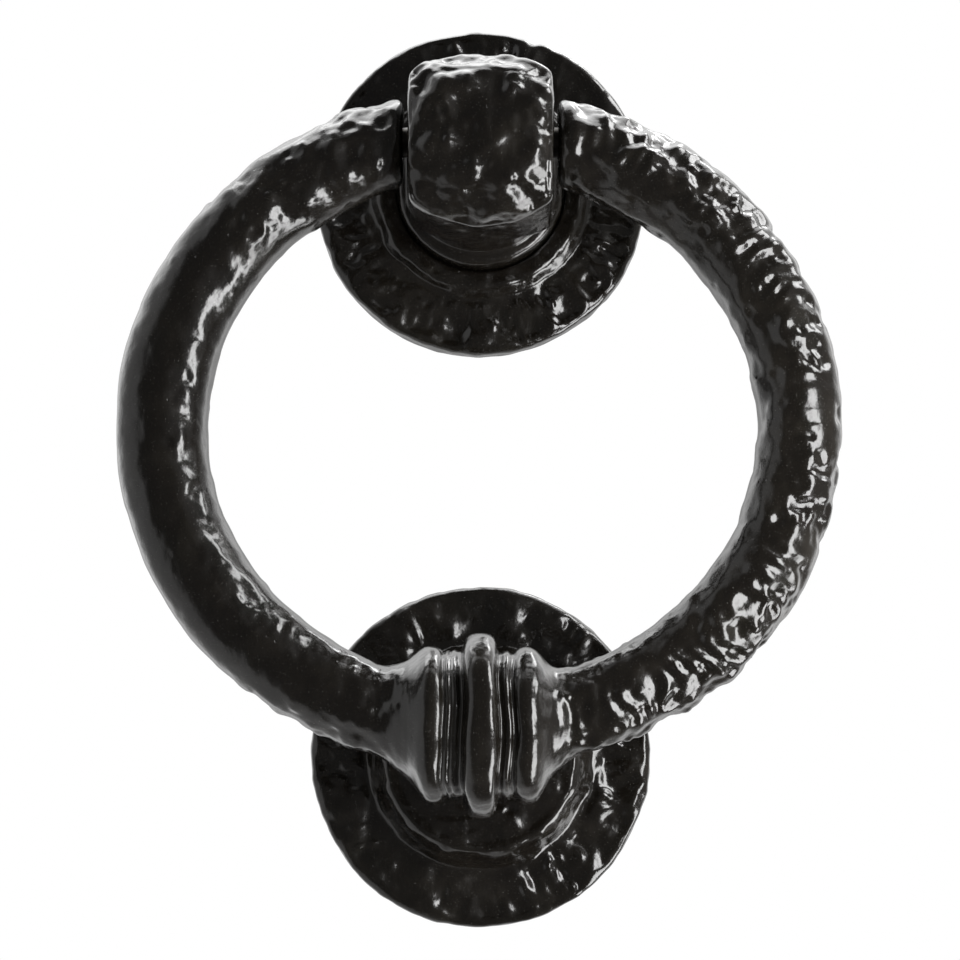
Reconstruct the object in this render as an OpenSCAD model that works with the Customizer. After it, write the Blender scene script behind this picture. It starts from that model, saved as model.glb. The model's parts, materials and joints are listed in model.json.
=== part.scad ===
// Ring door knocker with a striking rose, on two round roses with fixing studs.
// Millimetres. The door face is the plane y = 0, the knocker stands out towards -Y, +Z is up.
// The origin lies on the door face, midway between the two fixing studs.

/* [Roses] */
// Distance between the centres of the two roses, and so between the two studs
stud_spacing = 99; // [96:1:110]
// Outside radius of each rose
rose_r = 29.2; // [27:0.1:33]
// Thickness of a rose's hammered plate
rose_h = 5; // [4:0.1:6]
// Rounding of a rose's outer edge
rose_edge = 1.6; // [0.8:0.1:2.4]
// Radius of both bosses where they meet the plate
boss_foot_r = 19.2; // [18.8:0.1:22]
// Radius of the top rose's boss at its rim
boss_rim_r = 18.0; // [17.2:0.1:18.6]
// Height of the top rose's boss above the door
boss_h = 7.2; // [6.6:0.1:8]
// Radius of the strike boss at its rim
strike_r = 16.5; // [14:0.1:17.5]
// Height of the strike boss above the door
strike_h = 11.6; // [11:0.1:12.4]

/* [Pivot post] */
// Radius of the post's round foot
foot_r = 14.7; // [13.5:0.1:15.5]
// Half the distance between the two flats on the foot
foot_flat = 14.1; // [13:0.1:14.4]
// Height of the foot's rim above the door
foot_h = 11.5; // [10.5:0.1:12.5]
// Half the width of the block between the ring's ends
block_x = 12; // [11:0.1:12.4]
// Half the height of the block
block_z = 14.6; // [13:0.1:15]
// How far the middle of the block lies below the pivot
block_drop = 0.9; // [0:0.1:1.5]
// Distance from the pivot to the block's front face
block_front = 13; // [11:0.1:14]
// Radius of the arched top and bottom of the block, seen from the front
block_arch = 22; // [16:1:40]
// Half the height of the flat part of the block's front
block_flat = 10.1; // [6:0.1:11]
// Height of the pivot above the top rose's centre
pivot_up = 3; // [0:0.1:5]

/* [Ring] */
// Half the width of the ring, measured to the middle of the bar
ring_a = 52.6; // [50:0.1:56]
// Half the height of the ring, measured to the middle of the bar
ring_b = 49.3; // [47:0.1:49.8]
// Radius of the round bar
bar_r = 7.4; // [6.5:0.1:8]
// Distance from the middle to each cut end of the ring
end_x = 12.9; // [12.7:0.1:14]

/* [Striker] */
// Radius of the middle bead, which meets the strike boss
bead_r = 15; // [13.8:0.1:15.6]
// Half the width of the middle bead
bead_x = 2.8; // [2:0.1:3.2]
// Radius of the two fine rings beside the middle bead
fine_r = 12.4; // [11.5:0.1:12.8]
// Radius of the two collars
collar_r = 13; // [12:0.1:13.4]
// Gap between the middle bead and the strike boss at rest
rest_gap = 0.1; // [0.05:0.05:0.3]

/* [Pins and fixings] */
// Radius of the two pivot pins
pin_r = 2.5; // [2:0.1:3]
// Running clearance around a pin in the block's bore
pin_play = 0.05; // [0.03:0.01:0.08]
// Length of a pin held in an end of the ring
pin_hold = 8; // [6:0.5:9]
// Length of a pin running in the block
pin_run = 9; // [7:0.5:10]
// Outside radius of a stud's thread
thread_r = 2.95; // [2.9:0.01:2.98]
// Radius of a stud's plain waist, through the door
shank_r = 2.65; // [2.4:0.05:2.7]
// Thickness of the door
door_t = 44; // [35:1:54]
// Outside radius of a washer
washer_r = 8; // [6:0.5:9]
// Thickness of a washer
washer_t = 1.6; // [1:0.1:2]
// Width across the flats of a cap nut
nut_af = 10; // [9.5:0.1:11]

/* [Hidden] */
$fn = 96;
top_z = stud_spacing / 2;
strike_z = -stud_spacing / 2;
pivot_z = top_z + pivot_up;
pivot_h = strike_h + rest_gap + bead_r;
// the bar's middle line is an oval of four arcs, which meet where they run at 45 degrees
arc_shift = (ring_a - ring_b) / (2 - sqrt(2));
side_arc = ring_a - arc_shift;
low_arc = ring_b + arc_shift;
end_angle = asin(end_x / low_arc);
ring_z = pivot_z + arc_shift - low_arc * cos(end_angle);
bead_z = ring_z - ring_b;
post_seat = boss_h - 1;
tap_r = 3;
stud_end = door_t + washer_t + 8;
iron = [0.035, 0.033, 0.032];
steel = [0.55, 0.55, 0.56];

// stands a shape built upwards along +Z out of the door at height z, so that its own +Z becomes -Y
module off_door(z) {
    translate([0, 0, z]) rotate([90, 0, 0]) children();
}

// turns a profile drawn as (radius, distance along the axis) about the X axis
module about_x() {
    rotate([0, 90, 0]) rotate_extrude() children();
}

// half outline of a rose's plate, with its outer edge rounded
module plate_outline() {
    difference() {
        square([rose_r, rose_h]);
        difference() {
            translate([rose_r - rose_edge, rose_h - rose_edge]) square(rose_edge + 1);
            translate([rose_r - rose_edge, rose_h - rose_edge]) circle(rose_edge);
        }
    }
}

module top_rose() {
    color(iron) off_door(top_z) difference() {
        rotate_extrude() {
            plate_outline();
            polygon([[0, rose_h - 1], [boss_foot_r, rose_h - 1], [boss_foot_r, rose_h],
                     [boss_rim_r + 0.3, boss_h - 0.5], [boss_rim_r - 0.4, boss_h], [0, boss_h]]);
        }
        // seat for the post's foot, and the hole for its spigot
        translate([0, 0, post_seat]) intersection() {
            cylinder(r = foot_r + 0.1, h = 3);
            translate([-foot_flat - 0.1, -20, 0]) cube([2 * foot_flat + 0.2, 40, 3]);
        }
        translate([0, 0, -1]) cylinder(r = 6.1, h = 12);
    }
}

// outline of the block seen from the front: straight sides, arched top and bottom
module block_outline() {
    intersection() {
        square([2 * block_x, 4 * block_z], center = true);
        translate([0, block_z - block_arch]) circle(block_arch);
        translate([0, block_arch - block_z]) circle(block_arch);
    }
}

module pivot_post() {
    color(iron) difference() {
        union() {
            // round foot with a flat on each side
            off_door(top_z) intersection() {
                union() {
                    translate([0, 0, post_seat]) cylinder(r = foot_r, h = foot_h - post_seat - 0.8);
                    translate([0, 0, foot_h - 0.8]) cylinder(r1 = foot_r, r2 = foot_r - 0.8, h = 0.8);
                    translate([0, 0, 0.3]) cylinder(r = 6, h = 8);
                }
                translate([-foot_flat, -20, 0]) cube([2 * foot_flat, 40, 30]);
            }
            // neck, tapering from the foot to the block
            off_door(top_z) intersection() {
                translate([0, 1.2, foot_h - 0.4])
                    cylinder(r1 = foot_r - 1.2, r2 = foot_r - 1.5, h = pivot_h - foot_h - 6);
                translate([-block_x - 0.6, -20, 0]) cube([2 * block_x + 1.2, 40, 40]);
            }
            // block between the ring's ends, with its front edges rounded off above and below
            intersection() {
                off_door(pivot_z - block_drop) translate([0, 0, pivot_h - block_front + 1.5])
                    linear_extrude(2 * block_front - 1.5) block_outline();
                translate([0, -pivot_h, pivot_z - block_drop]) rotate([0, 90, 0])
                    cylinder(r = norm([block_front, block_flat]), h = 40, center = true);
            }
        }
        // bore for the pivot pins
        translate([0, -pivot_h, pivot_z]) rotate([0, 90, 0])
            cylinder(r = pin_r + pin_play, h = 40, center = true);
        // tapped hole for the fixing stud
        off_door(top_z) translate([0, 0, -1]) cylinder(r = tap_r, h = 13.5);
    }
}

// part of the bar: an arc from angle a to angle b, counted from +X towards +Z
module bar_arc(cx, cz, r, a, b, bar = bar_r) {
    translate([cx, -pivot_h, ring_z + cz]) rotate([90, 0, 0]) rotate([0, 0, a])
        rotate_extrude(angle = b - a) translate([r, 0]) circle(bar);
}

// carries a shape lying along X at the bottom of the ring, t degrees round the low arc
module at_striker(t) {
    translate([0, -pivot_h, bead_z + low_arc]) rotate([0, t, 0])
        translate([0, 0, -low_arc]) children();
}

module knocker_ring() {
    color(iron) difference() {
        union() {
            bar_arc(arc_shift, 0, side_arc, -45, 45);
            bar_arc(-arc_shift, 0, side_arc, 135, 225);
            // the upper and lower arcs are a hair thinner, which keeps a plain step at each meeting
            bar_arc(0, arc_shift, low_arc, 225, 315, bar_r - 0.02);
            difference() {
                union() {
                    bar_arc(0, -arc_shift, low_arc, 45, 89, bar_r - 0.02);
                    bar_arc(0, -arc_shift, low_arc, 91, 135, bar_r - 0.02);
                }
                translate([-end_x, -60, ring_z]) cube([2 * end_x, 60, 80]);
            }
            // middle bead and the fine rings beside it
            at_striker(0) about_x()
                polygon([[0, -5.9], [fine_r - 0.5, -5.9], [fine_r, -5.3], [fine_r, -4.7],
                         [fine_r - 0.5, -4.4], [fine_r, -4.1], [fine_r, -3.5], [fine_r - 0.6, -bead_x],
                         [bead_r - 1.6, -bead_x], [bead_r, -bead_x + 1.3], [bead_r, bead_x - 1.3],
                         [bead_r - 1.6, bead_x], [fine_r - 0.6, bead_x], [fine_r, 3.5], [fine_r, 4.1],
                         [fine_r - 0.5, 4.4], [fine_r, 4.7], [fine_r, 5.3], [fine_r - 0.5, 5.9],
                         [0, 5.9]]);
            // collar, and a cuff that narrows to the bar in a hollow curve, on each side
            for (side = [0, 1]) mirror([side, 0, 0]) at_striker(-5) about_x() difference() {
                union() {
                    polygon([[0, 0.5], [collar_r - 0.6, 0.5], [collar_r, 1.1], [collar_r, 4.8],
                             [collar_r - 0.6, 5.4], [0, 5.4]]);
                    translate([0, 5]) square([collar_r - 0.7, 4.9]);
                }
                translate([collar_r - 0.5, 9.9]) circle(4.5);
            }
        }
        // holes for the pins in the ring's ends
        translate([0, -pivot_h, pivot_z]) rotate([0, 90, 0])
            cylinder(r = pin_r, h = 2 * (end_x + pin_hold), center = true);
    }
}

module pivot_pin(side) {
    translate([side * (block_x - pin_run), -pivot_h, pivot_z]) rotate([0, side * 90, 0]) {
        translate([0, 0, 0.5]) cylinder(r = pin_r, h = pin_run + end_x - block_x + pin_hold - 0.7);
        cylinder(r1 = pin_r - 0.5, r2 = pin_r, h = 0.5);
    }
}

module left_pivot_pin() {
    color(steel) pivot_pin(-1);
}

module right_pivot_pin() {
    color(steel) pivot_pin(1);
}

module strike_rose() {
    color(iron) off_door(strike_z) difference() {
        rotate_extrude() {
            plate_outline();
            polygon([[0, rose_h - 1], [boss_foot_r, rose_h - 1], [boss_foot_r, rose_h],
                     [boss_foot_r - 0.9, rose_h + 1.1], [strike_r + 0.25, strike_h - 0.8],
                     [strike_r - 0.6, strike_h], [0, strike_h]]);
        }
        // tapped hole for the fixing stud
        translate([0, 0, -1]) cylinder(r = tap_r, h = 10);
    }
}

// double-ended stud: thread in the casting, plain waist through the door, thread for the nut
module stud(z, grip) {
    off_door(z) {
        cylinder(r = thread_r, h = grip - 0.5);
        translate([0, 0, grip - 0.5]) cylinder(r1 = thread_r, r2 = thread_r - 0.5, h = 0.5);
        translate([0, 0, -door_t + 6]) cylinder(r = shank_r, h = door_t - 6);
        translate([0, 0, -stud_end + 0.5]) cylinder(r = thread_r, h = stud_end - door_t + 5.5);
        translate([0, 0, -stud_end]) cylinder(r1 = thread_r - 0.5, r2 = thread_r, h = 0.5);
    }
}

module top_stud() {
    color(steel) stud(top_z, 12);
}

module strike_stud() {
    color(steel) stud(strike_z, 8.5);
}

module washer(z) {
    off_door(z) translate([0, 0, -door_t - washer_t]) difference() {
        cylinder(r = washer_r, h = washer_t);
        translate([0, 0, -1]) cylinder(r = tap_r + 0.2, h = washer_t + 2);
    }
}

module top_washer() {
    color(steel) washer(top_z);
}

module strike_washer() {
    color(steel) washer(strike_z);
}

// hexagon nut with a closed dome, its open end against the washer
module cap_nut(z) {
    off_door(z) translate([0, 0, -door_t - washer_t]) rotate([180, 0, 0]) difference() {
        union() {
            intersection() {
                cylinder(r = nut_af / sqrt(3), h = 5.2, $fn = 6);
                cylinder(r1 = nut_af / 2 + 0.1, r2 = nut_af / 2 + 5.3, h = 5.2);
                cylinder(r1 = nut_af / 2 + 5.3, r2 = nut_af / 2 + 0.1, h = 5.2);
            }
            translate([0, 0, 5]) cylinder(r = nut_af / 2 - 0.4, h = 2.6);
            translate([0, 0, 7.6]) intersection() {
                sphere(r = nut_af / 2 - 0.4);
                cylinder(r = nut_af, h = 10);
            }
        }
        translate([0, 0, -1]) cylinder(r = tap_r, h = 9.6);
    }
}

module top_cap_nut() {
    color(steel) cap_nut(top_z);
}

module strike_cap_nut() {
    color(steel) cap_nut(strike_z);
}

top_rose();
pivot_post();
knocker_ring();
left_pivot_pin();
right_pivot_pin();
strike_rose();
top_stud();
strike_stud();
top_washer();
strike_washer();
top_cap_nut();
strike_cap_nut();
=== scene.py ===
import itertools
import json
import math
import bpy
import numpy as np
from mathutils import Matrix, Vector


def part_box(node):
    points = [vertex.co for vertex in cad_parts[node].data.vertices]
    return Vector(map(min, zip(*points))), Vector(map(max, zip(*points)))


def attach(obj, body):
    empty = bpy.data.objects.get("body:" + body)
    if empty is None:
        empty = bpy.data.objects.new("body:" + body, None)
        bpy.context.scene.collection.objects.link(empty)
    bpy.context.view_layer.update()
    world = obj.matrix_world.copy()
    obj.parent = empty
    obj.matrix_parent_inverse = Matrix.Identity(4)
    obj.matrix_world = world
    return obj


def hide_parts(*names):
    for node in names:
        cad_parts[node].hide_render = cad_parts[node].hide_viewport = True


# Ring door knocker: black hammered iron ring, post and roses, with zinc plated studs behind.
# Lengths in the pieces' settings are in millimetres, and go to metres when a mesh is made.

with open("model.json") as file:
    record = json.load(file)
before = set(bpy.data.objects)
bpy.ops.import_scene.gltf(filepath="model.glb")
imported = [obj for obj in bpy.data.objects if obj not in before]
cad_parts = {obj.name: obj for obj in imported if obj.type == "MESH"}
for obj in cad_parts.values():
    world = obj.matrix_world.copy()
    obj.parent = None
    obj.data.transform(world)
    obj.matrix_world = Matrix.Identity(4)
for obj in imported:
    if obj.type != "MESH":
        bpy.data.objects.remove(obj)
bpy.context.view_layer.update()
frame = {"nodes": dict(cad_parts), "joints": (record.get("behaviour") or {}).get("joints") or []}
nodes = frame["nodes"]
scene = bpy.context.scene
mm = 0.001
pivot = np.array(frame["joints"][0]["pos_m"]) / mm
print("frame loaded, pivot at", pivot.round(2))


def boxOf(node):
    low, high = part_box(node)
    return np.array(low) / mm, np.array(high) / mm


# Noise in space, the same on every run

latticeSide = 24  # cells before the noise repeats


def latticeOf(seed, channels):
    return np.random.default_rng(seed).random((latticeSide, latticeSide, latticeSide, channels))


def smooth(low, high, x):
    t = np.clip((x - low) / (high - low), 0, 1)
    return t * t * (3 - 2 * t)


def turnOf(seed):
    # a fixed turn for each seed, so that no two layers line up with each other or with the knocker
    turn, _ = np.linalg.qr(np.random.default_rng(seed + 500).normal(size=(3, 3)))
    return turn


def softNoise(points, cell, seed):
    table = latticeOf(seed, 1)[..., 0]
    place = points @ turnOf(seed) / cell
    base = np.floor(place).astype(int)
    part = place - base
    part = part * part * (3 - 2 * part)
    total = np.zeros(points.shape[:-1])
    for corner in itertools.product((0, 1), repeat=3):
        weight = np.prod(np.where(corner, part, 1 - part), axis=-1)
        at = (base + corner) % latticeSide
        total += weight * table[at[..., 0], at[..., 1], at[..., 2]]
    return total * 2 - 1


def blows(points, cell, seed, share, reach, power=1.5):
    # round marks scattered in space: 1 in the middle of a mark, 0 outside them all
    table = latticeOf(seed, 5)
    place = points @ turnOf(seed) / cell
    base = np.floor(place).astype(int)
    most = np.zeros(points.shape[:-1])
    for corner in itertools.product((-1, 0, 1), repeat=3):
        at = (base + corner) % latticeSide
        chance = table[at[..., 0], at[..., 1], at[..., 2]]
        middle = base + corner + chance[..., :3]
        size = reach * (0.55 + 0.45 * chance[..., 3])
        away = np.linalg.norm(place - middle, axis=-1) / size
        mark = np.clip(1 - away * away, 0, None) ** power * (chance[..., 4] < share)
        most = np.maximum(most, mark)
    return most


hammer = {
    "wave": 0.42, "waveSize": 7.0,  # slow swell of the casting
    "ripple": 0.85, "rippleSize": 3.3,
    "dent": 0.5, "dentSize": 4.4, "dentShare": 0.6,  # hollows left by the hammer
    "bump": 0.42, "bumpSize": 3.3, "bumpShare": 0.5,  # raised lumps
    "grain": 0.24, "grainSize": 1.4,
    "patchSize": 14.0,  # busy and calm areas
    "warp": 0.8, "warpSize": 3.0,  # pushes the marks out of round
    "most": 0.85,  # the relief levels off here
}


def hammered(points, seed, strength=1.0, least=0.5):
    h = hammer
    patch = np.clip(0.9 + 1.1 * softNoise(points, h["patchSize"], seed + 9), least, 1.2)
    shift = [softNoise(points, h["warpSize"], seed + k) for k in (11, 12, 13)]
    bent = points + h["warp"] * np.stack(shift, axis=-1)
    relief = h["ripple"] * softNoise(points, h["rippleSize"], seed + 1)
    relief -= h["dent"] * blows(bent, h["dentSize"], seed + 2, h["dentShare"], 0.55, 2)
    relief += h["bump"] * blows(bent, h["bumpSize"], seed + 3, h["bumpShare"], 0.5, 2)
    relief += h["grain"] * softNoise(points, h["grainSize"], seed + 4)
    relief = relief * patch + h["wave"] * softNoise(points, h["waveSize"], seed)
    return h["most"] * np.tanh(relief / h["most"]) * strength


# Meshes

def addMesh(name, points, faces, creaseDegrees=38):
    mesh = bpy.data.meshes.new(name)
    mesh.from_pydata((np.asarray(points) * mm).tolist(), [], faces)
    mesh.validate()
    mesh.polygons.foreach_set("use_smooth", [True] * len(mesh.polygons))
    mesh.set_sharp_from_angle(angle=math.radians(creaseDegrees))
    piece = bpy.data.objects.new(name, mesh)
    scene.collection.objects.link(piece)
    return piece


def tubeFaces(rowCount, around, closeStart=True, closeEnd=True):
    first = np.arange(rowCount - 1)[:, None] * around
    here = np.arange(around)[None, :]
    after = (here + 1) % around
    quads = np.stack([first + here, first + after, first + around + after,
                      first + around + here], axis=-1).reshape(-1, 4).tolist()
    if closeStart:
        quads.append(list(range(around))[::-1])
    if closeEnd:
        quads.append(list(range((rowCount - 1) * around, rowCount * around)))
    return quads


def turned(profile, around):
    # profile rows of (radius, height) turned about an axis: gives radius, angle and height grids
    profile = np.asarray(profile, float)
    angle = np.arange(around) * 2 * math.pi / around
    radius = np.repeat(profile[:, :1], around, axis=1)
    height = np.repeat(profile[:, 1:2], around, axis=1)
    return radius, np.repeat(angle[None, :], len(profile), axis=0), height


def fineProfile(corners, step, coarse):
    # close rows wherever the profile can be seen, wide ones on the back
    out = [corners[0]]
    for a, b in zip(corners, corners[1:]):
        count = max(1, int(math.ceil(math.dist(a, b) / (step if max(a[1], b[1]) > 1 else coarse))))
        out += [(a[0] + (b[0] - a[0]) * i / count, a[1] + (b[1] - a[1]) * i / count)
                for i in range(1, count + 1)]
    return np.array(out)


def rounded(profile, passes):
    # takes the hard corners off a fine profile and keeps its two ends
    profile = np.array(profile, float)
    for _ in range(passes):
        profile[1:-1] = (profile[:-2] + 2 * profile[1:-1] + profile[2:]) / 4
    return profile


# Ring with its striker

ringLow, ringHigh = boxOf("knocker_ring")
ringSet = {
    "bar": 7.4, "barLeft": 7.55, "barRight": 7.15,  # the bar is a little fuller on the left
    "beadRadius": 15.0,
    "endGap": 12.9,  # from the middle to each cut end
    "endRound": 1.5,
    "around": 110, "step": 0.4,  # how fine the mesh is
    "fineStep": 0.17, "fineReach": 17,  # and how fine at the striker
    "mark": 0.21, "markStep": 2.9,  # depth and spacing of the short marks across the right side
    "easeFrom": 59.2, "ease": 0.75,  # how far out the sides may come
    "swell": 0.12, "swellLength": 17.0,  # the bar's thickness wanders along it
    "ripple": 0.1, "rippleLength": 7.3,
    # distances from the striker's middle between which one thing gives way to another
    "level": (7, 15),  # a level middle line to the oval
    "upright": (11, 25),  # upright sections to ones square to the oval
    "taper": (13, 19),  # the striker's profile to the bar's
    "marked": (11.5, 16),  # smooth iron to hammered
    "sway": 0.45, "swayEnd": (9, 14),  # the beads wander from side to side
    # radius of the striker against the distance from its middle: the bead, then each side outwards
    "bead": [(0, 15.0), (0.8, 14.97), (1.5, 14.8), (2.1, 14.4), (2.5, 13.8), (2.75, 12.9), (2.95, 11.8)],
    "left": [(3.4, 11.75), (4.1, 12.1), (4.5, 12.2), (4.85, 11.75), (5.2, 12.2), (5.55, 12.2),
             (5.85, 11.7), (6.2, 11.9), (6.6, 12.45), (7.3, 12.75), (8.3, 12.85), (9.1, 12.6), (10.0, 11.9),
             (10.9, 10.9), (11.8, 9.9), (12.8, 9.15), (14.2, 8.5), (16.5, 7.95), (19, 7.7)],
    "right": [(3.4, 11.8), (3.9, 12.1), (4.3, 12.25), (4.7, 12.15), (5.1, 11.6), (5.5, 11.65),
              (5.9, 12.15), (6.5, 12.5), (7.4, 12.65), (8.4, 12.5), (9.3, 12.0), (10.1, 11.1), (10.9, 9.9),
              (11.7, 8.9), (12.6, 8.2), (14, 7.7), (16.5, 7.3), (19, 7.1)],
    "strikerBlur": 26,  # smoothing passes along the striker's profile
}


def ovalPath(bar):
    # the ring's middle line: an oval of four arcs from the left cut end, round below, to the right one
    halfWide = (ringHigh[0] - ringLow[0]) / 2 - bar
    beadMiddle = ringLow[2] + ringSet["beadRadius"]
    drop = pivot[2] - beadMiddle
    halfHigh = drop / 2
    for _ in range(60):
        shift = (halfWide - halfHigh) / (2 - math.sqrt(2))
        low = halfHigh + shift
        halfHigh = (drop + low - math.sqrt(low ** 2 - ringSet["endGap"] ** 2)) / 2
    side = halfWide - shift
    middle = beadMiddle + halfHigh
    lean = math.degrees(math.asin(ringSet["endGap"] / low))
    arcs = [((0, -shift), low, 90 + lean, 135), ((-shift, 0), side, 135, 225), ((0, shift), low, 225, 315),
            ((shift, 0), side, 315, 405), ((0, -shift), low, 45, 90 - lean)]
    line = []
    for (cx, cz), r, a, b in arcs:
        for t in np.radians(np.linspace(a, b, 900)):
            line.append((cx + r * math.cos(t), middle + cz + r * math.sin(t)))
    line = np.array(line)
    length = np.r_[0, np.cumsum(np.linalg.norm(np.diff(line, axis=0), axis=1))]
    return line, length - length[-1] / 2, beadMiddle


def buildRing():
    s = ringSet
    line, along, beadMiddle = ovalPath(s["bar"])
    end = along[-1]
    # rows along the bar: fine at the striker and at the rounded cut ends
    fineEnd = s["fineReach"]
    fine = np.arange(-fineEnd, fineEnd + 0.01, s["fineStep"])
    tail = np.r_[0, 0.12, 0.3, 0.55, 0.85, 1.2, 1.6]
    coarse = np.linspace(fineEnd + 0.3, end - 1.9, int((end - fineEnd - 2) / s["step"]))
    u = np.r_[-end + tail, -coarse[::-1], fine, coarse, (end - tail)[::-1]]
    x = np.interp(u, along, line[:, 0])
    z = np.interp(u, along, line[:, 1])
    # the striker is straight, so the middle line runs level under it
    reach = np.abs(u)
    level = 1 - smooth(*s["level"], reach)
    z = z - (z - beadMiddle) * level
    tangent = np.stack([np.gradient(x, u), np.gradient(z, u)], axis=1)
    inset = end - reach
    square = (1 - smooth(0, 10, inset))[:, None]  # the cut ends are square to the pivot
    tangent = tangent * (1 - square) + np.array([[-1, 0]]) * square
    straight = (1 - smooth(*s["upright"], reach))[:, None]
    tangent = tangent * (1 - straight) + np.array([[1, 0]]) * straight
    tangent /= np.linalg.norm(tangent, axis=1)[:, None]
    outward = np.stack([tangent[:, 1], -tangent[:, 0]], axis=1)
    bar = s["barLeft"] + (s["barRight"] - s["barLeft"]) * smooth(-50, 50, x)
    bar = bar + s["swell"] * np.sin(u / s["swellLength"]) + s["ripple"] * np.sin(u / s["rippleLength"] + 1)
    bar = bar + (s["bar"] - bar) * (1 - smooth(0, 25, inset))
    dense = np.arange(-24, 24.001, 0.05)
    left, right = np.array(s["bead"] + s["left"]), np.array(s["bead"] + s["right"])
    shape = np.where(dense < 0, np.interp(-dense, left[:, 0], left[:, 1]),
                     np.interp(dense, right[:, 0], right[:, 1]))
    for _ in range(s["strikerBlur"]):
        shape[1:-1] = (shape[:-2] + 2 * shape[1:-1] + shape[2:]) / 4
    striker = np.interp(u, dense, shape)
    mix = smooth(*s["taper"], reach)
    radius = striker * (1 - mix) + bar * mix
    corner = s["endRound"]
    radius -= np.where(inset < corner,
                       corner - np.sqrt(np.clip(corner ** 2 - (corner - inset) ** 2, 0, None)), 0)
    turn = np.arange(s["around"]) * 2 * math.pi / s["around"]
    turn = turn + 0.33 * np.cos(turn)  # finer on the side that faces out
    middle = np.stack([x, np.full_like(x, pivot[1]), z], axis=1)[:, None, :]
    away = np.stack([outward[:, 0], 0 * x, outward[:, 1]], axis=1)[:, None, :]
    # how far each line along the bar faces outwards and to the front
    out, forward = np.cos(turn), np.sin(turn)
    spoke = out[None, :, None] * away + forward[None, :, None] * np.array([0, -1.0, 0])
    surface = middle + spoke * radius[:, None, None]
    strength = smooth(*s["marked"], reach) * smooth(0.2, 3, inset)
    # the left of the ring is calmer than the right, most of all round its outside
    calm = smooth(-20, -48, x)[:, None] * (0.12 + 0.62 * smooth(-0.2, 0.7, out)[None, :])
    rightSide = smooth(-15, 30, x)[:, None]
    relief = hammered(surface, 11, 0.88 + 0.17 * rightSide, 0.5 + 0.5 * rightSide) - 0.06
    # short marks across the front of the right side
    front = smooth(-0.1, 0.5, forward) * smooth(-0.5, 0.1, out) * (1 - smooth(0.75, 0.95, out))
    beat = np.sin(2 * math.pi * (u[:, None] / s["markStep"] + 0.7 * softNoise(surface, 6, 71)))
    relief += s["mark"] * beat * front[None, :] * rightSide * (0.85 + 0.25 * softNoise(surface, 5, 72))
    relief = relief * strength[:, None] * (1 - calm)
    # the inside of the hole is smoother too, on the right from further round
    inside = (smooth(-0.55, -0.9, out)[None, :] * (1 - rightSide)
              + smooth(-0.1, -0.75, out)[None, :] * rightSide)
    relief = relief * (1 - 0.6 * inside)
    # nothing stands out past the plain bar's widest places
    relief = np.where(relief > 0, relief * (1 - 0.75 * smooth(44, 58, np.abs(surface[..., 0]))), relief)
    # the smooth striker still has the faint unevenness of a casting
    faint = 0.2 * softNoise(surface, 4.8, 61) + 0.13 * softNoise(surface, 2.1, 62)
    relief += faint * (1 - strength[:, None]) * smooth(0.2, 3, inset)[:, None]
    surface = surface + spoke * relief[..., None]
    # the striker's beads wander a little from side to side
    surface[..., 0] += s["sway"] * softNoise(surface, 7, 63) * (1 - smooth(*s["swayEnd"], reach))[:, None]
    # the outermost sides stay inside the plain ring's width
    wide = np.abs(surface[..., 0])
    eased = s["easeFrom"] + s["ease"] * np.tanh((wide - s["easeFrom"]) / s["ease"])
    surface[..., 0] = np.sign(surface[..., 0]) * np.where(wide > s["easeFrom"], eased, wide)
    return addMesh("ringCasting", surface.reshape(-1, 3), tubeFaces(len(u), s["around"]), 50)


ring = buildRing()
print("ring made", len(ring.data.polygons), "faces")

# Roses

roseSet = {
    "radius": 29.2, "plate": 5.0, "edge": 1.5, "around": 560,
    "rowStep": 0.28, "backStep": 2.5,  # spacing of the rows in front and on the back
    "stretch": 0.75, "stretchFrom": 7.0,  # draws the marks out along the radius
    "bore": 3.3, "recess": 6.3, "recessHeight": 1.0,  # the stud's hole, and the hollow under the post
    "footRadius": 19.2,
    "topRim": 18.0, "topHeight": 7.2, "seatRadius": 14.85, "seatHeight": 6.25,
    "strikeRim": 16.5, "strikeHeight": 11.6,
    "chipAngle": 71.0, "chipDepth": 0.7, "chipWidth": 0.9,  # small chip on the edge of the top rose
    "wander": 0.16, "wanderSize": 13.0,  # unevenness of the outline
}


def edgeArc(radius, plate, edge):
    return [(radius - edge + edge * math.sin(t), plate - edge + edge * math.cos(t))
            for t in np.radians([90, 72, 54, 36, 18, 0])]


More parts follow.
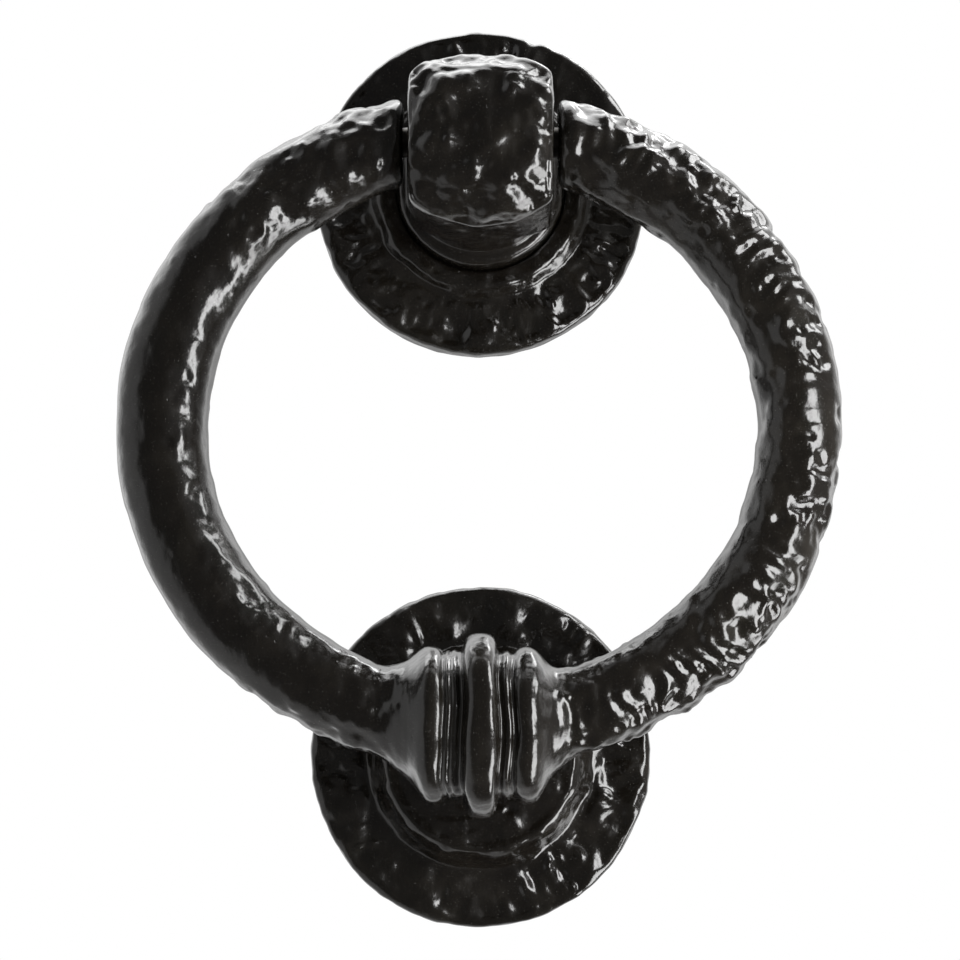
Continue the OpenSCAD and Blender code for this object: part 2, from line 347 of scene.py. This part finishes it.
def buildRose(name, centreZ, kind, seed):
    s = roseSet
    outer = [(s["bore"], 0.0), (s["radius"] - 0.5, 0.0), (s["radius"], 0.5)]
    outer += edgeArc(s["radius"], s["plate"], s["edge"])
    if kind == "top":
        inner = [(s["footRadius"] + 0.5, s["plate"]), (s["footRadius"] - 0.1, s["plate"] + 0.4),
                 (s["topRim"] + 0.25, s["topHeight"] - 0.6), (s["topRim"] - 0.4, s["topHeight"]),
                 (s["seatRadius"] + 0.25, s["topHeight"]), (s["seatRadius"], s["topHeight"] - 0.25),
                 (s["seatRadius"], s["seatHeight"]), (s["recess"], s["seatHeight"]),
                 (s["recess"], s["recessHeight"]), (s["bore"], s["recessHeight"])]
    else:
        inner = [(s["footRadius"] + 0.6, s["plate"]), (s["footRadius"] - 0.2, s["plate"] + 0.5),
                 (s["strikeRim"] + 1.5, s["plate"] + 2.3),
                 (s["strikeRim"] + 0.35, s["strikeHeight"] - 1.0),
                 (s["strikeRim"] - 0.5, s["strikeHeight"]), (0.05, s["strikeHeight"])]
    profile = rounded(fineProfile(outer + inner, s["rowStep"], s["backStep"]), 4)
    radius, angle, height = turned(profile, s["around"])
    slope = np.gradient(profile, axis=0)
    slope /= np.maximum(np.linalg.norm(slope, axis=1), 1e-9)[:, None]
    facing = np.stack([slope[:, 1], -slope[:, 0]], axis=1)  # away from the metal, in radius and height
    facing = rounded(facing, 4)

    def place(r, h):
        return np.stack([r * np.cos(angle), -h, centreZ + r * np.sin(angle)], axis=-1)

    points = place(radius, height)
    onPlate = smooth(s["footRadius"] + 0.2, s["footRadius"] + 2.2, radius) * smooth(4.0, 4.9, height)
    onPlate *= 1 - 0.85 * smooth(27.0, 28.9, radius)
    onEdge = smooth(s["radius"] - 2.2, s["radius"] - 0.6, radius) * smooth(0.3, 2.0, height)
    onTop = (smooth(s["strikeHeight"] - 0.7, s["strikeHeight"], height)
             * (1 - smooth(s["strikeRim"] - 2.2, s["strikeRim"] - 0.6, radius)))
    # blows on the plate were struck outwards, so their marks are longer along the radius
    nearer = radius * s["stretch"] + s["stretchFrom"]
    stretched = np.stack([nearer * np.cos(angle), -height, nearer * np.sin(angle)], axis=-1)
    relief = hammered(stretched + seed, seed, 1.15) * np.maximum(onPlate, 0.2 * onEdge) - 0.12 * onPlate
    if kind == "strike":
        relief += (hammered(points, seed + 20, 0.6) - 0.35) * onTop
    onWall = smooth(s["plate"], s["plate"] + 0.6, height)
    onWall *= smooth(s["seatRadius"], s["seatRadius"] + 0.8, radius)
    relief += (0.1 + 0.22 * onWall) * softNoise(points, 3.4, seed + 5) * smooth(0.2, 1.5, height)
    relief += (0.1 + 0.08 * onWall) * softNoise(points, 1.7, seed + 7) * smooth(0.2, 1.5, height)
    # the outline wanders a little, as it does on a sand casting
    wander = s["wander"] * softNoise(points * np.array([1, 0, 1]), s["wanderSize"], seed + 6) - 0.12
    wander *= smooth(24, 28.5, radius)
    r = radius + facing[:, :1] * relief + wander
    h = height + facing[:, 1:] * relief
    if kind == "top":
        chip = math.radians(s["chipAngle"])
        near = np.hypot(r * np.cos(angle) - s["radius"] * math.cos(chip),
                        r * np.sin(angle) - s["radius"] * math.sin(chip))
        r = r - s["chipDepth"] * np.exp(-(near / s["chipWidth"]) ** 2) * smooth(1.0, 4.0, height)
        h = h - 0.4 * np.exp(-(near / 1.2) ** 2) * smooth(1.0, 4.0, height)
    h = np.maximum(h, 0)
    points = place(r, h)
    faces = tubeFaces(len(profile), s["around"], closeStart=False, closeEnd=kind == "strike")
    return addMesh(name, points.reshape(-1, 3), faces, 50)


topLow, topHigh = boxOf("top_rose")
strikeLow, strikeHigh = boxOf("strike_rose")
topRose = buildRose("topRoseCasting", (topLow[2] + topHigh[2]) / 2, "top", 101)
strikeRose = buildRose("strikeRoseCasting", (strikeLow[2] + strikeHigh[2]) / 2, "strike", 207)
print("roses made")

# Pivot post: the plain casting is remeshed finely, its corners are worn round and its block is hammered

postSet = {
    "voxel": 0.36, "footPasses": 5, "blockPasses": 40,  # smoothing passes on the foot and on the block
    "blockFrom": 16.5,  # height above the door where the block starts
    "strength": 1.1,
    "halfHeight": 14.6, "halfWidth": 12.0, "bore": 2.6,
    # the plain block's front, to work out how much more to take off
    "plainFlat": 10.1, "plainEnd": 15.5, "plainRound": 16.46, "plainFront": 13.0,
    "cushion": 22.0,  # radius of the curve that brings the rounding in at the sides
    "roundFrom": 6.6, "sink": 0.13, "mostSink": 2.0,  # where the front rounds off, how fast and how far
    "sideDrop": 1.4,  # how far the front falls away at the sides
    "frontFrom": (27, 36),  # heights above the door between which this rounding comes in
}


def buildPost():
    s = postSet
    rough = bpy.data.objects.new("postRough", nodes["pivot_post"].data.copy())
    scene.collection.objects.link(rough)
    remesh = rough.modifiers.new("even", "REMESH")
    remesh.mode = "VOXEL"
    remesh.voxel_size = s["voxel"] * mm
    seen = rough.evaluated_get(bpy.context.evaluated_depsgraph_get())
    mesh = bpy.data.meshes.new_from_object(seen)
    bpy.data.objects.remove(rough)
    mesh.materials.clear()
    count = len(mesh.vertices)
    points = np.empty(count * 3, np.float32)
    mesh.vertices.foreach_get("co", points)
    points = points.reshape(-1, 3).astype(float) / mm
    edges = np.empty(len(mesh.edges) * 2, np.int64)
    mesh.edges.foreach_get("vertices", edges)
    edges = edges.reshape(-1, 2)
    both = np.r_[edges, edges[:, ::-1]]
    degree = np.bincount(both[:, 0], minlength=count)[:, None]

    def relax(values, passes):
        for _ in range(passes):
            total = np.stack([np.bincount(both[:, 0], weights=values[both[:, 1], k], minlength=count)
                              for k in range(values.shape[1])], axis=1)
            values = values * 0.5 + 0.5 * total / degree
        return values

    height = -points[:, 1]
    block = smooth(s["blockFrom"] - 2, s["blockFrom"] + 1.5, height)[:, None]
    soft = relax(points, s["footPasses"])
    points = soft * (1 - block) + relax(soft, s["blockPasses"]) * block
    # the block's front is cushioned towards its sides, and rounder above and below than the plain casting
    blockMiddle = boxOf("pivot_post")[1][2] - s["halfHeight"]
    across = np.clip(np.abs(points[:, 0]), 0, s["halfWidth"])
    rise = np.abs(points[:, 2] - blockMiddle)
    rise += 0.7 * (s["cushion"] - np.sqrt(s["cushion"] ** 2 - across ** 2))
    sunk = s["sink"] * np.clip(rise - s["roundFrom"], 0, None) ** 2
    fromMiddle = np.clip(rise, s["plainFlat"], s["plainEnd"])
    plain = s["plainFront"] - np.sqrt(np.clip(s["plainRound"] ** 2 - fromMiddle ** 2, 0, None))
    extra = np.clip(sunk - plain, 0, s["mostSink"]) + s["sideDrop"] * (across / s["halfWidth"]) ** 4
    points[:, 1] += extra * smooth(*s["frontFrom"], -points[:, 1])
    mesh.vertices.foreach_set("co", (points * mm).ravel())
    mesh.update()
    facing = np.empty(count * 3, np.float32)
    mesh.vertex_normals.foreach_get("vector", facing)
    facing = relax(facing.reshape(-1, 3).astype(float), 4)
    facing /= np.linalg.norm(facing, axis=1)[:, None]
    sideways = np.abs(facing[:, 0])
    relief = hammered(points, 301, s["strength"], 0.85) - 0.15
    strength = block[:, 0] * (1 - 0.75 * smooth(0.75, 0.95, sideways))
    strength *= 0.25 + 0.75 * smooth(0.1, 0.5, -facing[:, 1])
    faint = 0.1 * softNoise(points, 4, 77) + 0.08 * softNoise(points, 1.9, 78)
    relief = relief * strength + faint * smooth(8, 10, -points[:, 1])
    points = points + facing * relief[:, None]
    # the bore for the pins keeps its size
    around = np.hypot(points[:, 1] - pivot[1], points[:, 2] - pivot[2])
    wider = np.where(around < s["bore"], s["bore"] / np.maximum(around, 0.1), 1)[:, None]
    points[:, 1:] = pivot[1:] + (points[:, 1:] - pivot[1:]) * wider
    mesh.vertices.foreach_set("co", (points * mm).ravel())
    mesh.polygons.foreach_set("use_smooth", [True] * len(mesh.polygons))
    mesh.update()
    mesh.name = "postCasting"
    piece = bpy.data.objects.new("postCasting", mesh)
    scene.collection.objects.link(piece)
    return piece


post = buildPost()
print("post made", len(post.data.polygons), "faces")

# Studs with cut threads

studSet = {
    "pitch": 1.0, "crest": 2.95, "root": 2.45,  # the thread
    "waist": 2.65, "waistEnd": 38.0,  # the plain length through the door
    "endRound": 0.5, "endLength": 0.7,
    "around": 40, "step": 0.125,
}


def buildStud(name, node):
    s = studSet
    low, high = boxOf(node)
    centreZ = (low[2] + high[2]) / 2
    y = np.arange(low[1], high[1] + 1e-6, s["step"])
    y = np.r_[y[y < 1.0], np.linspace(1.0, s["waistEnd"] - 1, 60), y[y > s["waistEnd"] - 1]]
    turn = np.arange(s["around"]) / s["around"]
    phase = (y[:, None] / s["pitch"] + turn[None, :]) % 1.0
    ridge = np.clip(np.abs(phase - 0.5) * 2.6 - 0.15, 0, 1)
    cut = smooth(0.1, -0.9, y) + smooth(s["waistEnd"] + 0.2, s["waistEnd"] + 1.2, y)
    cut = np.clip(cut, 0, 1)[:, None]
    radius = s["waist"] * (1 - cut) + (s["root"] + (s["crest"] - s["root"]) * ridge) * cut
    fromEnd = np.minimum(y - low[1], high[1] - y)
    radius = radius - (s["endRound"] * (1 - smooth(0, s["endLength"], fromEnd)))[:, None]
    around = turn * 2 * math.pi
    points = np.stack([radius * np.cos(around), np.repeat(y[:, None], s["around"], axis=1),
                       centreZ + radius * np.sin(around)], axis=-1)
    faces = [f[::-1] for f in tubeFaces(len(y), s["around"])]
    return addMesh(name, points.reshape(-1, 3), faces, 30)


topStud = buildStud("topStudThreaded", "top_stud")
strikeStud = buildStud("strikeStudThreaded", "strike_stud")
print("studs made")


# Materials

class Wire:
    def __init__(self, maker, socket):
        self.maker, self.socket = maker, socket

    def maths(self, operation, a, b):
        return self.maker.node("ShaderNodeMath", {"operation": operation}, {0: a, 1: b})

    def __add__(self, other):
        return self.maths("ADD", self, other)

    __radd__ = __add__

    def __sub__(self, other):
        return self.maths("SUBTRACT", self, other)

    def __rsub__(self, other):
        return self.maths("SUBTRACT", other, self)

    def __mul__(self, other):
        return self.maths("MULTIPLY", self, other)

    __rmul__ = __mul__


class Finish:
    def __init__(self, name):
        self.material = bpy.data.materials.new(name)
        self.material.use_nodes = True
        self.tree = self.material.node_tree
        self.tree.nodes.clear()
        self.surface = self.tree.nodes.new("ShaderNodeBsdfPrincipled")
        output = self.tree.nodes.new("ShaderNodeOutputMaterial")
        self.tree.links.new(self.surface.outputs[0], output.inputs[0])
        self.place = self.node("ShaderNodeTexCoord", {}, {}, "Object")

    def node(self, kind, settings, inputs, out=0):
        made = self.tree.nodes.new(kind)
        for key, value in settings.items():
            setattr(made, key, value)
        for key, value in inputs.items():
            self.feed(made.inputs[key], value)
        return Wire(self, made.outputs[out])

    def feed(self, socket, value):
        if isinstance(value, Wire):
            self.tree.links.new(value.socket, socket)
        elif isinstance(value, tuple) and len(value) == 3 and socket.type == "RGBA":
            socket.default_value = (*value, 1)
        else:
            socket.default_value = value

    def set(self, **values):
        for key, value in values.items():
            self.feed(self.surface.inputs[key.replace("_", " ")], value)

    def noise(self, scale, detail=2.0, roughness=0.5, stretch=None):
        place = self.place
        if stretch:
            place = self.node("ShaderNodeVectorMath", {"operation": "MULTIPLY"}, {0: place, 1: stretch})
        return self.node("ShaderNodeTexNoise", {}, {"Vector": place, "Scale": scale, "Detail": detail,
                                                   "Roughness": roughness})

    def step(self, value, low, high):
        return self.node("ShaderNodeMapRange", {"interpolation_type": "SMOOTHSTEP"},
                         {"Value": value, "From Min": low, "From Max": high, "To Min": 0.0, "To Max": 1.0})

    def blend(self, mask, a, b):
        return self.node("ShaderNodeMix", {"data_type": "RGBA"}, {0: mask, 6: a, 7: b}, 2)

    def bump(self, height, distance, strength):
        return self.node("ShaderNodeBump", {},
                         {"Strength": strength, "Distance": distance, "Height": height})


paintSet = {
    "black": (0.0060, 0.0049, 0.0036), "worn": (0.0108, 0.0090, 0.0066), "dust": (0.12, 0.115, 0.105),
    "roughness": 0.15, "coat": 0.3, "coatRoughness": 0.09,
    "relief": 0.00022,  # metres, of the unevenness of the paint's skin
}


def blackPaint(name):
    f = Finish(name)
    s = paintSet
    cloud = f.noise(120, 3, 0.55)
    skin = f.noise(1500, 2, 0.5)
    small = f.noise(620, 3, 0.6)
    specks = f.step(f.noise(5200, 1, 0.4), 0.735, 0.76)
    pits = f.node("ShaderNodeTexVoronoi", {}, {"Vector": f.place, "Scale": 520.0, "Randomness": 1.0},
                  "Distance")
    pinholes = 1 - f.step(pits, 0.05, 0.13)
    pinholes = pinholes * f.step(f.noise(210, 1, 0.5), 0.52, 0.6)
    base = f.blend(f.step(cloud, 0.42, 0.72), s["black"], s["worn"])
    base = f.blend(specks * 0.55, base, s["dust"])
    rough = s["roughness"] + 0.07 * f.step(cloud, 0.4, 0.75) + 0.04 * small + 0.3 * specks
    f.set(Base_Color=base, Roughness=rough, Metallic=0.0, IOR=1.5,
          Coat_Weight=s["coat"], Coat_Roughness=s["coatRoughness"], Coat_IOR=1.5)
    height = skin * 0.18 + small * 0.5 - pinholes * 0.4
    f.set(Normal=f.bump(height, s["relief"], 0.75))
    return f.material


zincSet = {"light": (0.60, 0.60, 0.585), "dull": (0.40, 0.395, 0.375), "stain": (0.24, 0.21, 0.17),
           "roughness": 0.3, "relief": 0.00003}


def zincPlate(name, stretch):
    f = Finish(name)
    s = zincSet
    patch = f.step(f.noise(230, 3, 0.6), 0.35, 0.68)
    lines = f.noise(900, 3, 0.6, stretch)
    stain = f.step(f.noise(900, 4, 0.7), 0.6, 0.78)
    base = f.blend(patch, s["light"], s["dull"])
    base = f.blend(stain * 0.5, base, s["stain"])
    rough = s["roughness"] + 0.14 * patch + 0.12 * lines + 0.15 * stain
    f.set(Base_Color=base, Metallic=1.0, Roughness=rough)
    f.set(Normal=f.bump(lines + 0.4 * stain, s["relief"], 0.6))
    return f.material


pinSet = {"bare": (0.05, 0.047, 0.043), "oily": (0.022, 0.02, 0.018), "roughness": 0.34, "relief": 0.00002}


def oiledSteel(name):
    f = Finish(name)
    s = pinSet
    film = f.step(f.noise(700, 3, 0.6), 0.35, 0.7)
    lines = f.noise(1200, 2, 0.6, (0.3, 6.0, 6.0))
    f.set(Base_Color=f.blend(film, s["bare"], s["oily"]), Metallic=1.0,
          Roughness=s["roughness"] + 0.2 * film, Normal=f.bump(lines, s["relief"], 0.6))
    return f.material


ironPaint = blackPaint("blackGlossPaint")
zincTurned = zincPlate("zincTurned", (0.25, 6.0, 0.25))
zincDrawn = zincPlate("zincDrawn", (6.0, 0.3, 6.0))


def dress(piece, material):
    piece.data.materials.clear()
    piece.data.materials.append(material)


def install(piece, body, node, material):
    dress(piece, material)
    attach(piece, body)
    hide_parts(node)


install(ring, "swinging_ring", "knocker_ring", ironPaint)
install(post, "fixed_side", "pivot_post", ironPaint)
install(topRose, "fixed_side", "top_rose", ironPaint)
install(strikeRose, "fixed_side", "strike_rose", ironPaint)
install(topStud, "fixed_side", "top_stud", zincDrawn)
install(strikeStud, "fixed_side", "strike_stud", zincDrawn)
pinSteel = oiledSteel("oiledPinSteel")
for name in ("left_pivot_pin", "right_pivot_pin"):
    dress(nodes[name], pinSteel)
edgeSet = {"width": 0.18, "segments": 2, "fromDegrees": 25}  # worn edges of the washers and cap nuts
for name in ("top_washer", "strike_washer", "top_cap_nut", "strike_cap_nut"):
    dress(nodes[name], zincTurned)
    soften = nodes[name].modifiers.new("edges", "BEVEL")
    soften.width = edgeSet["width"] * mm
    soften.segments = edgeSet["segments"]
    soften.limit_method = "ANGLE"
    soften.angle_limit = math.radians(edgeSet["fromDegrees"])
print("materials set")

# Floor, light and camera

studioSet = {
    "floorDrop": 620.0, "floorRadius": 5200.0, "floorSides": 96,
    # what the paint mirrors: dark before it, pale round it
    "frontGlow": 0.09, "sideGlow": 0.6, "backGlow": 1.3, "rightGlow": 0.16,
    "elevation": -6.6, "distance": 407.0, "lens": 90.0,
    "target": (-0.1, -15.0, -3.0),
}

floorTurns = np.linspace(0, 2 * math.pi, studioSet["floorSides"] + 1)[:-1]
floorEdge = [(studioSet["floorRadius"] * math.cos(t), studioSet["floorRadius"] * math.sin(t),
              -studioSet["floorDrop"]) for t in floorTurns]
floor = addMesh("paleFloor", floorEdge, [list(range(studioSet["floorSides"]))])
floorFinish = Finish("paleFloorPaper")
paper = floorFinish.blend(floorFinish.noise(9, 3), (0.86, 0.86, 0.855), (0.9, 0.9, 0.895))
floorFinish.set(Base_Color=paper, Roughness=0.8)
dress(floor, floorFinish.material)
floor.visible_glossy = False

world = bpy.data.worlds.new("studio")
world.use_nodes = True
scene.world = world
tree = world.node_tree
tree.nodes.clear()


def worldNode(kind, settings, inputs, out=0):
    made = tree.nodes.new(kind)
    for key, value in settings.items():
        setattr(made, key, value)
    for key, value in inputs.items():
        if isinstance(value, bpy.types.NodeSocket):
            tree.links.new(value, made.inputs[key])
        else:
            made.inputs[key].default_value = value
    return made.outputs[out]


def ramp(value, low, high, bottom, top):
    return worldNode("ShaderNodeMapRange", {"interpolation_type": "SMOOTHSTEP"},
                     {"Value": value, "From Min": low, "From Max": high, "To Min": bottom, "To Max": top})


def sideOf(direction):
    # how far a direction in the room points the given way
    return worldNode("ShaderNodeVectorMath", {"operation": "DOT_PRODUCT"},
                     {0: toward, 1: direction}, "Value")


def worldMaths(operation, a, b):
    return worldNode("ShaderNodeMath", {"operation": operation}, {0: a, 1: b})


# the room is dark before the knocker and pale to its left and behind it
toward = worldNode("ShaderNodeTexCoord", {}, {}, "Generated")
fromLeft = ramp(sideOf((-0.85, 1.0, 0.0)), -0.1, 0.34, studioSet["frontGlow"], studioSet["sideGlow"])
fromBack = ramp(sideOf((0.0, 1.0, 0.4)), 0.25, 0.8, 0.0, studioSet["backGlow"])
fromRight = ramp(sideOf((1.0, -0.2, 0.15)), 0.3, 0.9, 0.0, studioSet["rightGlow"])
glow = worldMaths("ADD", worldMaths("ADD", fromLeft, fromBack), fromRight)
# straight behind, the knocker shades its own background
glow = worldMaths("MULTIPLY", glow, ramp(sideOf((0.0, 1.0, 0.0)), 0.72, 0.96, 1.0, 0.3))
mirrored = worldNode("ShaderNodeBackground", {}, {"Color": (1, 1, 1, 1), "Strength": glow})
seen = worldNode("ShaderNodeBackground", {}, {"Color": (1, 1, 1, 1), "Strength": 1.0})
cameraRay = worldNode("ShaderNodeLightPath", {}, {}, "Is Camera Ray")
room = worldNode("ShaderNodeMixShader", {}, {0: cameraRay, 1: mirrored, 2: seen})
tree.links.new(room, tree.nodes.new("ShaderNodeOutputWorld").inputs[0])


def softbox(name, place, wide, high, power):
    lamp = bpy.data.lights.new(name, "AREA")
    lamp.shape = "RECTANGLE"
    lamp.size, lamp.size_y = wide, high
    lamp.energy = power
    holder = bpy.data.objects.new(name, lamp)
    scene.collection.objects.link(holder)
    holder.location = place
    holder.rotation_mode = "QUATERNION"
    holder.rotation_quaternion = (-Vector(place)).to_track_quat("-Z", "Y")  # aimed at the middle
    holder.visible_camera = False
    return holder


lampSet = {  # place, width and height in metres, power in watts
    "keyRight": ((0.57, -0.09, -0.50), 0.38, 0.42, 4.6),
    "overhead": ((0.0, 0.20, 0.75), 0.85, 0.6, 4.4),
    "keyNear": ((0.110, -0.116, -0.020), 0.055, 0.11, 0.23),  # close by: each side sees it at its own angle
    "keyUpper": ((0.56, -0.06, 0.50), 0.34, 0.36, 3.9),
    "rimAbove": ((0.29, 0.38, 0.64), 0.3, 0.08, 0.8),
}
for name, (place, wide, high, power) in lampSet.items():
    softbox(name, place, wide, high, power)

elevation = math.radians(studioSet["elevation"])
target = Vector(studioSet["target"]) * mm
back = Vector((0, -math.cos(elevation), math.sin(elevation)))
camera = bpy.data.objects.new("camera", bpy.data.cameras.new("camera"))
scene.collection.objects.link(camera)
camera.data.lens = studioSet["lens"]
camera.data.sensor_width = 36
camera.data.clip_start, camera.data.clip_end = 0.01, 20
camera.location = target + back * studioSet["distance"] * mm
camera.rotation_euler = (math.pi / 2 - elevation, 0, 0)
scene.camera = camera
scene.view_settings.view_transform = "Standard"
print("studio ready")
